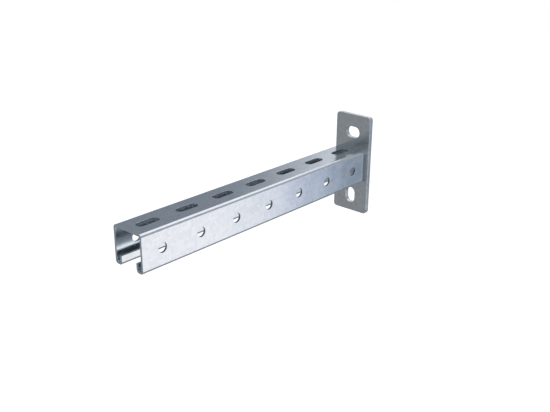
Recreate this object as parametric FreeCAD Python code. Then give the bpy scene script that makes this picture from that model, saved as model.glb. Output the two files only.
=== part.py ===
import FreeCAD, Part
import math
import os

# Cantilever strut arm: a length of slotted strut channel welded square to a wall plate.
# All sizes are in millimetres. The origin is the centre of the plate's wall face, +X runs
# out along the arm, +Z is up, and the mouth of the channel faces down.

# Wall plate. The middle between its two slots lies a little below the channel's centre.
plate_thickness = 6.0
plate_width = 50.0
plate_height = 125.0
plate_corner_radius = 4.0
plate_edge_break = 0.4
plate_slot_length = 20.0
plate_slot_width = 14.0
plate_slot_spacing = 82.2
plate_slot_drop = 0.9

# Strut channel, rolled from one strip
channel_length = 350.0
channel_width = 41.3
channel_height = 41.3
wall = 2.5
bend_radius = 3.5
flange_width = 9.65
lip_height = 10.0

# Pattern punched along the channel
punch_pitch = 50.0
punch_end_margin = 25.0
web_slot_length = 27.0
web_slot_width = 10.5
side_hole_diameter = 10.5

# Fillet weld beads
weld_leg = 3.5
weld_sink = 1.5
weld_ripple = 2.6
weld_end_margin = 1.8

# Cutters run past the faces that they cut by this much
overcut = 1.0

node_folder = "parts"

half_channel = channel_width / 2
channel_top = channel_height / 2
channel_bottom = -channel_height / 2


def vector(x, y, z):
    return FreeCAD.Vector(x, y, z)


def rounded_face(corners):
    """A flat face from a loop of (point, radius) corners, with a tangent arc at each rounded one."""
    bends = []
    for index, (corner, radius) in enumerate(corners):
        before = (corners[index - 1][0] - corner).normalize()
        after = (corners[(index + 1) % len(corners)][0] - corner).normalize()
        half_angle = before.getAngle(after) / 2
        setback = radius / math.tan(half_angle)
        crown = radius / math.sin(half_angle) - radius
        bends.append((
            corner + before * setback,
            corner + (before + after).normalize() * crown,
            corner + after * setback,
        ))
    edges = []
    for index, (start, middle, end) in enumerate(bends):
        if corners[index][1] > 0:
            edges.append(Part.Arc(start, middle, end).toShape())
        next_start = bends[(index + 1) % len(bends)][0]
        edges.append(Part.LineSegment(end, next_start).toShape())
    return Part.Face(Part.Wire(edges))


def slot_cutter(start, along, through, length, width, depth):
    """A round-ended bar that cuts a slot: it begins at start, runs along, and cuts through."""
    half_straight = along * ((length - width) / 2)
    half_width = through.cross(along) * (width / 2)
    half_length = along * (length / 2)
    outline = Part.Wire([
        Part.LineSegment(start - half_straight - half_width, start + half_straight - half_width).toShape(),
        Part.Arc(
            start + half_straight - half_width, start + half_length, start + half_straight + half_width
        ).toShape(),
        Part.LineSegment(start + half_straight + half_width, start - half_straight + half_width).toShape(),
        Part.Arc(
            start - half_straight + half_width, start - half_length, start - half_straight - half_width
        ).toShape(),
    ])
    return Part.Face(outline).extrude(through * depth)


# Wall plate

def plate_slot(height, along):
    start = vector(-overcut, 0, height)
    depth = plate_thickness + 2 * overcut
    return slot_cutter(start, along, vector(1, 0, 0), plate_slot_length, plate_slot_width, depth)


def wall_plate():
    half_width = plate_width / 2
    half_height = plate_height / 2
    outline = [
        (vector(0, -half_width, -half_height), plate_corner_radius),
        (vector(0, half_width, -half_height), plate_corner_radius),
        (vector(0, half_width, half_height), plate_corner_radius),
        (vector(0, -half_width, half_height), plate_corner_radius),
    ]
    blank = rounded_face(outline).extrude(vector(plate_thickness, 0, 0))
    face_edges = [edge for edge in blank.Edges if edge.BoundBox.XLength < plate_thickness / 2]
    blank = blank.makeChamfer(plate_edge_break, face_edges)
    upper_slot = plate_slot(plate_slot_spacing / 2 - plate_slot_drop, vector(0, 1, 0))
    lower_slot = plate_slot(-plate_slot_spacing / 2 - plate_slot_drop, vector(0, 0, 1))
    return blank.cut([upper_slot, lower_slot])


# Strut channel

def channel_section():
    """The C section with its inturned lips: one closed outline of (point, radius) corners."""
    half_mouth = half_channel - flange_width
    inner_radius = max(bend_radius - wall, 0)
    lip_top = channel_bottom + lip_height
    one_side = [
        (half_channel, channel_top, bend_radius),
        (half_channel, channel_bottom, bend_radius),
        (half_mouth, channel_bottom, bend_radius),
        (half_mouth, lip_top, 0),
        (half_mouth + wall, lip_top, 0),
        (half_mouth + wall, channel_bottom + wall, inner_radius),
        (half_channel - wall, channel_bottom + wall, inner_radius),
        (half_channel - wall, channel_top - wall, inner_radius),
    ]
    other_side = [(-y, z, radius) for y, z, radius in reversed(one_side)]
    return [(vector(plate_thickness, y, z), radius) for y, z, radius in one_side + other_side]


def channel_envelope():
    """The channel's outside shape filled solid, for the weld beads to lie against."""
    outline = [
        (vector(plate_thickness, half_channel, channel_top), bend_radius),
        (vector(plate_thickness, half_channel, channel_bottom), bend_radius),
        (vector(plate_thickness, -half_channel, channel_bottom), bend_radius),
        (vector(plate_thickness, -half_channel, channel_top), bend_radius),
    ]
    return rounded_face(outline).extrude(vector(channel_length, 0, 0))


def punch_stations():
    """The distance of each punched slot and hole from the wall."""
    punched_run = channel_length - 2 * punch_end_margin
    steps = math.floor(punched_run / punch_pitch)
    first = plate_thickness + punch_end_margin
    return [first + step * punch_pitch for step in range(steps + 1)]


def web_slot(station):
    start = vector(station, 0, channel_top - wall - overcut)
    depth = wall + 2 * overcut
    return slot_cutter(start, vector(1, 0, 0), vector(0, 0, 1), web_slot_length, web_slot_width, depth)


def side_holes(station):
    start = vector(station, -half_channel - overcut, 0)
    reach = channel_width + 2 * overcut
    return Part.makeCylinder(side_hole_diameter / 2, reach, start, vector(0, 1, 0))


def strut_channel():
    channel = rounded_face(channel_section()).extrude(vector(channel_length, 0, 0))
    punches = []
    for station in punch_stations():
        punches.append(web_slot(station))
        punches.append(side_holes(station))
    return channel.cut(punches)


# Welds

def rippled_rod(axis_y):
    """An upright rod sunk into the corner, with one bulge of its outline for each weld ripple."""
    axis_x = plate_thickness - weld_sink
    toe_reach = weld_leg + weld_sink
    radius = math.hypot(toe_reach, weld_sink)
    top_centre = channel_top - weld_end_margin - toe_reach
    gaps = max(1, round(2 * top_centre / weld_ripple))
    spacing = 2 * top_centre / gaps
    valley = math.asin(spacing / 2 / radius)
    edges = []
    for ripple in range(gaps + 1):
        centre = ripple * spacing - top_centre
        low = -math.pi / 2 if ripple == 0 else -valley
        high = math.pi / 2 if ripple == gaps else valley
        points = [
            vector(axis_x + radius * math.cos(angle), axis_y, centre + radius * math.sin(angle))
            for angle in (low, (low + high) / 2, high)
        ]
        edges.append(Part.Arc(*points).toShape())
    rod_end = top_centre + radius
    edges.append(Part.LineSegment(vector(axis_x, axis_y, rod_end), vector(axis_x, axis_y, -rod_end)).toShape())
    half_outline = Part.Face(Part.Wire(edges))
    return half_outline.revolve(vector(axis_x, axis_y, 0), vector(0, 0, 1), 360)


def side_weld(side):
    """The bead in the corner between the plate and one side of the channel: side is 1 or -1."""
    rod = rippled_rod(side * (half_channel - weld_sink))
    before_plate = Part.makeBox(
        plate_width, plate_width, plate_height, vector(plate_thickness, -plate_width / 2, -plate_height / 2)
    )
    return rod.common(before_plate).cut(channel_envelope())


# Nodes

os.makedirs(node_folder, exist_ok=True)
nodes = {
    "wall_plate": wall_plate(),
    "strut_channel": strut_channel(),
    "weld_right": side_weld(1),
    "weld_left": side_weld(-1),
}
for name, shape in nodes.items():
    solid = shape.removeSplitter().Solids[0]
    solid.exportStep(os.path.join(node_folder, name + ".step"))
    print(name, "volume", round(solid.Volume, 1), "valid", solid.isValid())
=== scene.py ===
import math

import bmesh
import bpy
from mathutils import Matrix, Vector


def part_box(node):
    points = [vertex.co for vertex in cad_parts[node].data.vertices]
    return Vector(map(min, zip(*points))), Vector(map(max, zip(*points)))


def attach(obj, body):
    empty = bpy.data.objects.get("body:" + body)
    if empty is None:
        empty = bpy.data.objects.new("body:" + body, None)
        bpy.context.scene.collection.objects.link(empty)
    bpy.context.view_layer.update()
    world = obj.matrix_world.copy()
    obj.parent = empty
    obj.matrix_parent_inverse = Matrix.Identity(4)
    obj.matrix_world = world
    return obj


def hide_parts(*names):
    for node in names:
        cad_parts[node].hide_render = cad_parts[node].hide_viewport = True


MM = 0.001

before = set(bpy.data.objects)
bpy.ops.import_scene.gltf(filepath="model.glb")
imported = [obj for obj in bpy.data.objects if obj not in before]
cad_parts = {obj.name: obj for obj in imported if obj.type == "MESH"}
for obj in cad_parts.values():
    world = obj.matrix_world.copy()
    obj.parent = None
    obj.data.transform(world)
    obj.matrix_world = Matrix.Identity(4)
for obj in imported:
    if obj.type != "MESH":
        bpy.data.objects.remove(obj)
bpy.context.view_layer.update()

# Sizes of the arm in metres, taken from the frame where it holds them

plate_low, plate_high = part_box("wall_plate")
channel_low, channel_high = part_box("strut_channel")
bead_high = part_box("weld_right")[1]

plate_front = plate_high.x
channel_length = channel_high.x - channel_low.x
half_width = channel_high.y
channel_top = channel_high.z
channel_bottom = channel_low.z

# The channel's strip, its bends and lips, and what is punched in it
strip_thickness = 2.5 * MM
bend_radius = 3.5 * MM
flange_width = 9.65 * MM
lip_height = 10 * MM
punch_pitch = 50 * MM
first_punch = plate_front + 25 * MM
punch_count = 7
web_slot_length = 27 * MM
web_slot_width = 10.5 * MM
side_hole_size = 10.5 * MM

# The plate's corners and slots
plate_corner_radius = 4 * MM
plate_slot_length = 20 * MM
plate_slot_width = 14 * MM
upper_slot_height = 40.2 * MM
lower_slot_height = -42 * MM

# A bead is a rod whose axis lies bead_root deep in the corner, laid up in ripples. bead_crescent
# gives each ring of a ripple as a share of the ripple's height and a share of the rod's radius.
# bead_foot and bead_head give the latitudes, in radians, of the rings that round off its ends.
bead_root = 1.5 * MM
bead_ripple = 2.2 * MM
bead_crescent = ((0.1, 0.95), (0.3, 0.985), (0.6, 1.0), (0.85, 0.99))
bead_foot = (1.4, 1.0, 0.6, 0.3)
bead_head = (0.1, 0.3, 0.6, 1.0, 1.4)
bead_tilt = math.radians(24)

# This much of a bead is left inside the plate and inside the channel
hidden_root = 0.7 * MM

# How finely curves are divided, and what counts as sharp, as smooth and as the same place
bend_segments = 8
slot_segments = 48
bead_segments = 36
soft_edge = 0.25 * MM
sharp_angle = math.radians(50)
smooth_angle = math.radians(60)
touch = 0.01 * MM

# Cutters run past the metal by this much
overcut = 3 * MM


# Modelling steps

def begin():
    """Nothing is selected, so that an operator acts only on what is added next."""
    if bpy.context.object and bpy.context.object.mode != "OBJECT":
        bpy.ops.object.mode_set(mode="OBJECT")
    bpy.ops.object.select_all(action="DESELECT")


def settle():
    """The place, turn and scale of the new object go into its mesh."""
    bpy.ops.object.transform_apply(location=True, rotation=True, scale=True)


def near(a, b):
    return abs(a - b) < touch


def choose(piece, kind, test):
    """In edit mode, selects the corners (VERT) or edges (EDGE) whose end points pass the test."""
    bpy.ops.mesh.select_mode(type=kind)
    bpy.ops.mesh.select_all(action="DESELECT")
    mesh = bmesh.from_edit_mesh(piece.data)
    if kind == "VERT":
        for corner in mesh.verts:
            corner.select = test(corner.co)
    else:
        for edge in mesh.edges:
            edge.select = test(*(corner.co for corner in edge.verts))
    mesh.select_flush_mode()
    bmesh.update_edit_mesh(piece.data)


def face_outwards():
    bpy.ops.mesh.select_all(action="SELECT")
    bpy.ops.mesh.normals_make_consistent(inside=False)


def apply_modifier(piece, kind, **settings):
    """Adds a modifier with these settings and applies it at once."""
    bpy.ops.object.select_all(action="DESELECT")
    bpy.context.view_layer.objects.active = piece
    piece.select_set(True)
    modifier = piece.modifiers.new(kind.title(), kind)
    for name, value in settings.items():
        setattr(modifier, name, value)
    bpy.ops.object.modifier_apply(modifier=modifier.name)


def coat(piece, *materials):
    piece.data.materials.clear()
    for material in materials:
        piece.data.materials.append(material)


def slot_cutter(length, width, depth, turn, position):
    """A round-ended bar to cut with, turned and then put in position. Where its length is its
    width, it is a round one."""
    begin()
    bpy.ops.mesh.primitive_cylinder_add(vertices=slot_segments, radius=width / 2, depth=depth)
    cutter = bpy.context.object
    bpy.ops.object.mode_set(mode="EDIT")
    for side in (1, -1):
        choose(cutter, "VERT", lambda p: p.x * side > touch)
        bpy.ops.transform.translate(value=(side * (length - width) / 2, 0, 0))
    bpy.ops.object.mode_set(mode="OBJECT")
    cutter.data.transform(turn)
    cutter.data.transform(Matrix.Translation(position))
    return cutter


def repeat_along_arm(cutter):
    apply_modifier(
        cutter, "ARRAY", count=punch_count, use_relative_offset=False, use_constant_offset=True,
        constant_offset_displace=(punch_pitch, 0, 0),
    )
    return cutter


def punch(piece, cutter, wall_material):
    """Cuts the cutter's shape out of the piece and gives the new walls this material."""
    coat(cutter, wall_material)
    apply_modifier(
        piece, "BOOLEAN", operation="DIFFERENCE", solver="EXACT", object=cutter,
        material_mode="TRANSFER",
    )
    bpy.data.objects.remove(cutter, do_unlink=True)


def soften(piece):
    """Rounds every sharp edge a little and shades the piece smooth, with flat faces kept flat."""
    apply_modifier(
        piece, "BEVEL", width=soft_edge, segments=2, limit_method="ANGLE", angle_limit=sharp_angle
    )
    bpy.ops.object.shade_smooth()
    apply_modifier(piece, "WEIGHTED_NORMAL", mode="FACE_AREA", weight=90)


# Strut channel: one strip, folded, punched and cut off

def extrude_edge(channel, test, step):
    """Draws the edge whose two ends pass the test out by this step."""
    choose(channel, "EDGE", lambda a, b: test(a) and test(b))
    bpy.ops.mesh.extrude_region_move(TRANSFORM_OT_translate={"value": step})


def folded_strip():
    """Half of the strip's outer skin is folded down, in and up, mirrored, and its folds rounded."""
    begin()
    middle = (channel_low.x + channel_high.x) / 2
    bpy.ops.mesh.primitive_plane_add(size=1, location=(middle, half_width / 2, channel_top))
    channel = bpy.context.object
    channel.name = "channel"
    channel.scale = (channel_length, half_width, 1)
    settle()
    bpy.ops.object.mode_set(mode="EDIT")
    mouth = half_width - flange_width

    def lip_fold(p):
        return near(p.z, channel_bottom) and near(abs(p.y), mouth)

    def fold(p):
        return near(abs(p.y), half_width) or lip_fold(p)

    extrude_edge(channel, lambda p: near(p.y, half_width), (0, 0, channel_bottom - channel_top))
    extrude_edge(channel, lambda p: near(p.z, channel_bottom), (0, -flange_width, 0))
    extrude_edge(channel, lip_fold, (0, 0, lip_height))
    face_outwards()
    bpy.ops.object.mode_set(mode="OBJECT")
    apply_modifier(channel, "MIRROR", use_axis=(False, True, False), use_mirror_merge=True)
    bpy.ops.object.mode_set(mode="EDIT")
    choose(channel, "EDGE", lambda a, b: near(a.y, 0) and near(b.y, 0))
    bpy.ops.mesh.dissolve_edges()
    choose(channel, "EDGE", lambda a, b: not near(a.x, b.x) and fold(a) and fold(b))
    bpy.ops.mesh.bevel(offset=bend_radius, segments=bend_segments, affect="EDGES")
    face_outwards()
    bpy.ops.object.mode_set(mode="OBJECT")
    return channel


def strut_channel(skin, sheared_end, inside, punched_wall_and_painted_shade):
    """The folded strip gets its thickness inwards, its web slots and its holes in both sides."""
    channel = folded_strip()

    # The outer skin, the rim that thickening adds at both ends and the skin inside
    coats = (skin, sheared_end, inside)
    coat(channel, *coats)
    apply_modifier(
        channel, "SOLIDIFY", thickness=strip_thickness, offset=-1, use_even_offset=True,
        material_offset_rim=coats.index(sheared_end), material_offset=coats.index(inside),
    )
    web_slot = slot_cutter(
        web_slot_length, web_slot_width, strip_thickness + 2 * overcut, Matrix.Identity(4),
        (first_punch, 0, channel_top - strip_thickness / 2),
    )
    punch(channel, repeat_along_arm(web_slot), punched_wall_and_painted_shade)
    side_hole = slot_cutter(
        side_hole_size, side_hole_size, 2 * (half_width + overcut),
        Matrix.Rotation(math.pi / 2, 4, "X"), (first_punch, 0, 0),
    )
    punch(channel, repeat_along_arm(side_hole), punched_wall_and_painted_shade)
    soften(channel)
    return channel


# Wall plate

def wall_plate(skin):
    """A flat plate with round corners, a level slot above the arm and an upright one below it."""
    begin()
    bpy.ops.mesh.primitive_cube_add(size=1, location=(plate_low + plate_high) / 2)
    plate = bpy.context.object
    plate.name = "plate"
    plate.scale = plate_high - plate_low
    settle()
    coat(plate, skin)
    bpy.ops.object.mode_set(mode="EDIT")

    # The four edges that run through the plate
    choose(plate, "EDGE", lambda a, b: not near(a.x, b.x))
    bpy.ops.mesh.bevel(offset=plate_corner_radius, segments=bend_segments, affect="EDGES")
    bpy.ops.object.mode_set(mode="OBJECT")
    depth = plate_front + 2 * overcut
    upright = Matrix.Rotation(math.pi / 2, 4, "Y")
    level = Matrix.Rotation(math.pi / 2, 4, "X") @ upright
    for height, turn in ((upper_slot_height, level), (lower_slot_height, upright)):
        position = (plate_front / 2, 0, height)
        punch(plate, slot_cutter(plate_slot_length, plate_slot_width, depth, turn, position), skin)
    soften(plate)
    return plate


# Weld beads

def extrude_ring(centre, rise, growth):
    """Draws the selected ring upwards and changes its size about its new centre."""
    bpy.ops.mesh.extrude_region_move(TRANSFORM_OT_translate={"value": (0, 0, rise)})
    bpy.ops.transform.resize(value=(growth,) * 3, center_override=centre)


def bead_rings(run, radius):
    """The height and relative width of each ring of a bead, from its foot to its head."""
    rings = [(-run - radius * math.sin(lean), math.cos(lean)) for lean in bead_foot]
    ripples = round(2 * run / bead_ripple)
    for ripple in range(ripples):
        foot = -run + ripple * 2 * run / ripples
        rings += [(foot + share * bead_ripple, width) for share, width in bead_crescent]
    return rings + [(run + radius * math.sin(lean), math.cos(lean)) for lean in bead_head]


def weld_bead(side):
    """A bead laid upwards in the corner, each crescent over the last. Its root is in the metal."""
    begin()
    axis_x = plate_front - bead_root
    axis_y = side * (half_width - bead_root)
    reach = bead_high.x - axis_x
    radius = math.hypot(reach, bead_root)
    rings = bead_rings(bead_high.z - reach, radius)
    height, width = rings[0]
    outwards = Vector((1, side, 0))
    tilt = Matrix.Rotation(-bead_tilt, 3, outwards.cross(Vector((0, 0, 1))))
    bpy.ops.mesh.primitive_circle_add(
        vertices=bead_segments, radius=radius * width, fill_type="NGON",
        location=(axis_x, axis_y, height), rotation=tilt.to_euler(),
    )
    bead = bpy.context.object
    bead.name = "bead_right" if side > 0 else "bead_left"
    settle()
    bpy.ops.object.mode_set(mode="EDIT")
    bpy.ops.mesh.select_all(action="SELECT")
    for next_height, next_width in rings[1:]:
        extrude_ring((axis_x, axis_y, next_height), next_height - height, next_width / width)
        height, width = next_height, next_width

    # What would lie deeper in the plate or in the channel is cut off
    for point, normal in (
        ((plate_front - hidden_root, 0, 0), (1, 0, 0)),
        ((0, side * (half_width - hidden_root), 0), (0, side, 0)),
    ):
        bpy.ops.mesh.select_all(action="SELECT")
        bpy.ops.mesh.bisect(plane_co=point, plane_no=normal, use_fill=True, clear_inner=True)
    face_outwards()
    bpy.ops.object.mode_set(mode="OBJECT")
    bpy.ops.object.shade_smooth_by_angle(angle=smooth_angle)
    return bead


# Node trees

class Socket:
    """One output of a node. Arithmetic on it adds the Math nodes."""

    def __init__(self, graph, socket):
        self.graph = graph
        self.socket = socket

    def _math(self, operation, first, second):
        return self.graph.node("ShaderNodeMath", {"operation": operation}, {0: first, 1: second})

    def __add__(self, other):
        return self._math("ADD", self, other)

    def __radd__(self, other):
        return self._math("ADD", other, self)

    def __sub__(self, other):
        return self._math("SUBTRACT", self, other)

    def __rsub__(self, other):
        return self._math("SUBTRACT", other, self)

    def __mul__(self, other):
        return self._math("MULTIPLY", self, other)

    def __rmul__(self, other):
        return self._math("MULTIPLY", other, self)

    def __abs__(self):
        return self._math("ABSOLUTE", self, 0)


class Graph:
    """The node tree of a material or of the world."""

    def __init__(self, owner):
        owner.use_nodes = True
        self.tree = owner.node_tree
        self.tree.nodes.clear()

    def node(self, kind, settings=None, inputs=None, output=0):
        """Adds a node with these settings and these values or links, and gives one output."""
        made = self.tree.nodes.new(kind)
        for name, value in (settings or {}).items():
            setattr(made, name, value)
        for name, value in (inputs or {}).items():
            if isinstance(value, Socket):
                self.tree.links.new(value.socket, made.inputs[name])
            else:
                made.inputs[name].default_value = value
        return Socket(self, made.outputs[output]) if made.outputs else None

    def mix_colours(self, factor, first, second):
        colours = {0: factor, 6: first, 7: second}
        return self.node("ShaderNodeMix", {"data_type": "RGBA"}, colours, 2)

    def noise(self, place, scale, detail, roughness):
        return self.node("ShaderNodeTexNoise", {}, {
            "Vector": place, "Scale": scale, "Detail": detail, "Roughness": roughness,
        })

    def smooth_step(self, value, start, end):
        """0 where the value is at start and 1 where it is at end, eased at both."""
        return self.node(
            "ShaderNodeMapRange", {"interpolation_type": "SMOOTHSTEP"},
            {"Value": value, "From Min": start, "From Max": end},
        )


# Finishes

# The scales of the patterns in them, in cycles to the metre
crystal_scale = 260
haze_scale = 55
wave_scale = 22
grain_scale = 900

# How far the patterns swing the colour, the roughness and the relief
tint_swing = 0.12
haze_swing = 0.12
grain_swing = 0.15
crystal_relief = 0.02

# Zinc has a dull bloom over its shine, and a cut face is rougher than a skin
metal_share = 0.9
cut_roughness = 0.38


def zinc(name, colour, roughness, spangle, waviness):
    """Zinc-coated steel: a pale spangle, a faint haze in the gloss, a surface not quite flat."""
    material = bpy.data.materials.new(name)
    graph = Graph(material)
    place = graph.node("ShaderNodeTexCoord", output="Object")
    crystals = graph.node(
        "ShaderNodeTexVoronoi", {}, {"Vector": place, "Scale": crystal_scale}, "Color"
    )
    crystal = graph.node("ShaderNodeSeparateColor", {}, {"Color": crystals})
    haze = graph.noise(place, haze_scale, detail=4, roughness=0.6)
    waves = graph.noise(place, wave_scale, detail=1, roughness=0.4)
    tone = (crystal - 0.5) * spangle + (haze - 0.5) * spangle
    light = [part * (1 + tint_swing) for part in colour]
    dark = [part * (1 - tint_swing) for part in colour]
    bump = graph.node("ShaderNodeBump", {}, {
        "Strength": 1, "Distance": waviness, "Height": waves + crystal * crystal_relief,
    })
    shader = graph.node("ShaderNodeBsdfPrincipled", {}, {
        "Base Color": graph.mix_colours(tone + 0.5, (*dark, 1), (*light, 1)),
        "Metallic": metal_share,
        "Roughness": roughness + (haze - 0.5) * haze_swing,
        "Normal": bump,
    })
    graph.node("ShaderNodeOutputMaterial", {}, {"Surface": shader})
    return material


def cut_edge(name, dark, light):
    """Where the strip was sheared or punched: a thinner, duller coat of zinc over a torn face. The
    colours given for the punched walls also hold painted shade.
    """
    material = bpy.data.materials.new(name)
    graph = Graph(material)
    place = graph.node("ShaderNodeTexCoord", output="Object")
    grain = graph.noise(place, grain_scale, detail=3, roughness=0.6)
    shader = graph.node("ShaderNodeBsdfPrincipled", {}, {
        "Base Color": graph.mix_colours(grain, (*dark, 1), (*light, 1)),
        "Metallic": metal_share,
        "Roughness": cut_roughness + (grain - 0.5) * grain_swing,
    })
    graph.node("ShaderNodeOutputMaterial", {}, {"Surface": shader})
    return material


def fit(piece, slot_name, *nodes):
    """The piece stands for these solids, which are hidden, and hangs from the root body. The slot
    name is not used.
    """
    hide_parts(*nodes)
    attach(piece, "root")


# Room

# It lights the arm, whose metal mirrors it. A panel is its azimuth, elevation, width, height and
# soft edge in degrees, and then its colour. Each is laid over the panels before it.
room_tone = (0.188, 0.22, 0.26)
room_panels = (
    # Round the room, overhead and underfoot, mostly for the sides that the photograph hides
    ((12, 4, 34, 50, 14), (0.66, 0.68, 0.71)),
    ((94, 0, 34, 24, 8), (0.54, 0.56, 0.59)),
    ((170, 10, 40, 40, 12), (0.64, 0.66, 0.69)),
    ((136, -14, 13, 32, 3), (0.60, 0.62, 0.66)),
    ((0, 90, 70, 60, 16), (0.60, 0.62, 0.65)),
    ((0, -90, 60, 60, 14), (0.40, 0.41, 0.43)),
    ((322, -40, 40, 22, 5), (0.58, 0.60, 0.63)),
    # The plate's dark band, where it mirrors the top of the arm
    ((56, 17, 13, 14, 4), (0.08, 0.12, 0.12)),
    # The channel's side near the plate
    ((244, -19, 18, 26, 5), (0.20, 0.17, 0.12)),
    ((234, -19, 6, 26, 4), (0.02, 0.105, 0.178)),
    # The rest of the plate's front
    ((54, -19, 34, 34, 10), (0.252, 0.269, 0.283)),
    # The upper bend, where it turns into the side
    ((222, 14, 32, 26, 7), (0.46, 0.48, 0.51)),
    # The channel's side from the middle to the open end, and the walls inside that end
    ((229, -20, 4, 26, 4), (0.67, 0.77, 1.00)),
    ((199, -22, 54.6, 25.6, 2), (1.10, 1.10, 1.12)),
    # The upper bend, where it turns into the top
    ((266, 58, 58, 40, 7), (1.09, 1.12, 1.18)),
    # The channel's top near the plate
    ((290, 10, 34.7, 34, 7.5), (1.04, 1.07, 1.13)),
)

# The stretch of the white background, behind the arm, that the metal mirrors too
backdrop = (315, -4, 44, 20, 5)

# A panel fades in this far past the plane between its half of the room and the other
front_fade = 0.1


def direction(azimuth, elevation):
    """Where a panel hangs, seen from the arm: azimuth 0 is towards -Y and 90 towards +X."""
    a, e = math.radians(azimuth), math.radians(elevation)
    return Vector((math.sin(a) * math.cos(e), -math.cos(a) * math.cos(e), math.sin(e)))


def soft_box(graph, ray, azimuth, elevation, width, height, edge):
    """1 inside a soft-edged panel on the room's wall and 0 outside it."""
    forward = direction(azimuth, elevation)
    sideways = direction(azimuth + 90, 0)
    upward = forward.cross(sideways)

    def along(axis):
        axes = {0: ray, 1: axis}
        return graph.node("ShaderNodeVectorMath", {"operation": "DOT_PRODUCT"}, axes, "Value")

    def inside(distance, size):
        outer = math.sin(math.radians(size / 2 + edge))
        inner = math.sin(math.radians(max(size / 2 - edge, 0)))
        return graph.smooth_step(distance, outer, inner)

    # So that the panel has no twin on the opposite wall
    in_front = graph.smooth_step(along(forward), 0, front_fade)
    return inside(abs(along(sideways)), width) * inside(abs(along(upward)), height) * in_front


def ray_is(graph, kind):
    """1 for a ray of this kind: Camera, Glossy or Transmission."""
    return graph.node("ShaderNodeLightPath", output="Is " + kind + " Ray")


def room():
    """The metal mirrors the panels. The camera sees white, and so does the metal where it mirrors
    the backdrop."""
    world = bpy.data.worlds.new("studio")
    bpy.context.scene.world = world
    graph = Graph(world)
    ray = graph.node("ShaderNodeTexCoord", output="Generated")
    seen_in_metal = (*room_tone, 1)
    for place_and_size, colour in room_panels:
        panel = soft_box(graph, ray, *place_and_size)
        seen_in_metal = graph.mix_colours(panel, seen_in_metal, (*colour, 1))
    studio = graph.node("ShaderNodeBackground", {}, {"Color": seen_in_metal, "Strength": 1})
    white = graph.node("ShaderNodeBackground", {}, {"Color": (1, 1, 1, 1), "Strength": 1})
    mirrored = ray_is(graph, "Glossy") + ray_is(graph, "Transmission")
    sees_white = ray_is(graph, "Camera") + mirrored * soft_box(graph, ray, *backdrop)
    surface = graph.node("ShaderNodeMixShader", {}, {0: sees_white, 1: studio, 2: white})
    graph.node("ShaderNodeOutputWorld", {}, {"Surface": surface})


# Floor, in metres: it shows white, and a little greyer where the arm shades it

floor_height = -0.85
floor_size = 12
floor_paper = (0.9, 0.9, 0.9, 1)
floor_glow = 0.66


def floor():
    begin()
    bpy.ops.mesh.primitive_plane_add(size=floor_size, location=(0, 0, floor_height))
    ground = bpy.context.object
    ground.name = "floor"
    material = bpy.data.materials.new("floor paper")
    graph = Graph(material)
    paper = graph.node("ShaderNodeBsdfDiffuse", {}, {"Color": floor_paper})
    glow = graph.node("ShaderNodeEmission", {}, {"Color": (1, 1, 1, 1), "Strength": floor_glow})
    both = graph.node("ShaderNodeAddShader", {}, {0: paper, 1: glow})
    graph.node("ShaderNodeOutputMaterial", {}, {"Surface": both})
    coat(ground, material)
    # The arm is lit and mirrored by the room alone
    ground.visible_diffuse = False
    ground.visible_glossy = False
    ground.visible_shadow = False


# Camera: the photograph's view, past the open end and from a little above

camera_place = (0.7619, 0.5487, 0.3119)
camera_azimuth = math.radians(131.824)
camera_elevation = math.radians(21.752)
camera_roll = math.radians(0.441)
camera_lens = 51.13


def camera():
    data = bpy.data.cameras.new("camera")
    data.sensor_width = 36
    data.lens = camera_lens
    holder = bpy.data.objects.new("camera", data)
    bpy.context.scene.collection.objects.link(holder)
    holder.matrix_world = (
        Matrix.Translation(camera_place)
        @ Matrix.Rotation(camera_azimuth, 4, "Z")
        @ Matrix.Rotation(math.pi / 2 - camera_elevation, 4, "X")
        @ Matrix.Rotation(camera_roll, 4, "Z")
    )
    bpy.context.scene.camera = holder


# The arm and the studio round it

bpy.context.scene.view_settings.view_transform = "Standard"
channel_zinc = zinc(
    "channel zinc", (0.80, 0.82, 0.85), roughness=0.18, spangle=0.35, waviness=0.4 * MM
)
inside_zinc = zinc(
    "inside zinc", (0.765, 0.825, 0.87), roughness=0.15, spangle=0.35, waviness=0.4 * MM
)
plate_zinc = zinc(
    "plate zinc", (0.80, 0.81, 0.82), roughness=0.22, spangle=0.5, waviness=0.3 * MM
)
bead_zinc = zinc(
    "bead zinc", (0.37, 0.43, 0.46), roughness=0.55, spangle=0.3, waviness=0.3 * MM
)
sheared_end = cut_edge("sheared end", dark=(0.62, 0.64, 0.67), light=(0.80, 0.82, 0.85))
# The punched walls are darker than the sheared ends: partly the torn face's own dull colour, partly
# painted shade inside the holes and slots
punched_wall_and_painted_shade = cut_edge("punched wall and painted shade", dark=(0.36, 0.41, 0.45), light=(0.52, 0.57, 0.61))
channel = strut_channel(channel_zinc, sheared_end, inside_zinc, punched_wall_and_painted_shade)
fit(channel, "channel_zinc", "strut_channel")
fit(wall_plate(plate_zinc), "plate_zinc", "wall_plate")
for side, solid in ((1, "weld_right"), (-1, "weld_left")):
    bead = weld_bead(side)
    coat(bead, bead_zinc)
    fit(bead, "weld_zinc", solid)
floor()
room()
camera()
